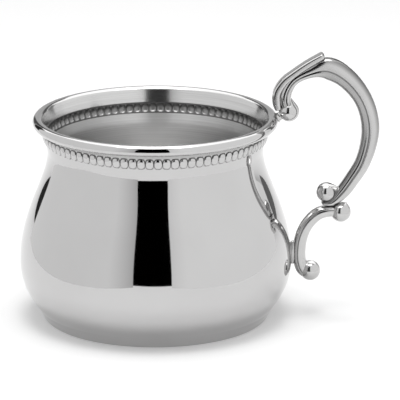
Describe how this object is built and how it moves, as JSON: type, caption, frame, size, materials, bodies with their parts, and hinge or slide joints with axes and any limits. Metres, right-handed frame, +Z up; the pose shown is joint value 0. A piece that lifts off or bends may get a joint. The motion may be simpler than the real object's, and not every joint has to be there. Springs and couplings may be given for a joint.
{
  "type": "baby cup",
  "caption": "Small pot-bellied metal drinking cup with a rolled lip, a beaded neck band and a double-scroll side handle with a thumb rest.",
  "frame": {"origin": "middle of the base plate's underside, where the cup stands", "axes": "+Z up along the cup's axis, +X towards the handle"},
  "size_m": [0.0974, 0.074, 0.073],
  "materials": {
    "polished_shell": "mirror-polished silver-coloured metal outside, satin spun inside",
    "cast_handle": "polished casting",
    "solder": "polished solder"
  },
  "bodies": {
    "root": {"base_plate": "polished_shell", "cup_body": "polished_shell", "beaded_band": "polished_shell", "rolled_lip": "polished_shell", "upper_scroll": "cast_handle", "upper_scroll_ball": "cast_handle", "upper_scroll_end_ball": "cast_handle", "thumb_rest": "cast_handle", "lower_scroll": "cast_handle", "lower_scroll_top_ball": "cast_handle", "lower_scroll_foot_ball": "cast_handle", "upper_joint_pin": "solder", "lower_joint_pad": "solder"}
  },
  "joints": []
}
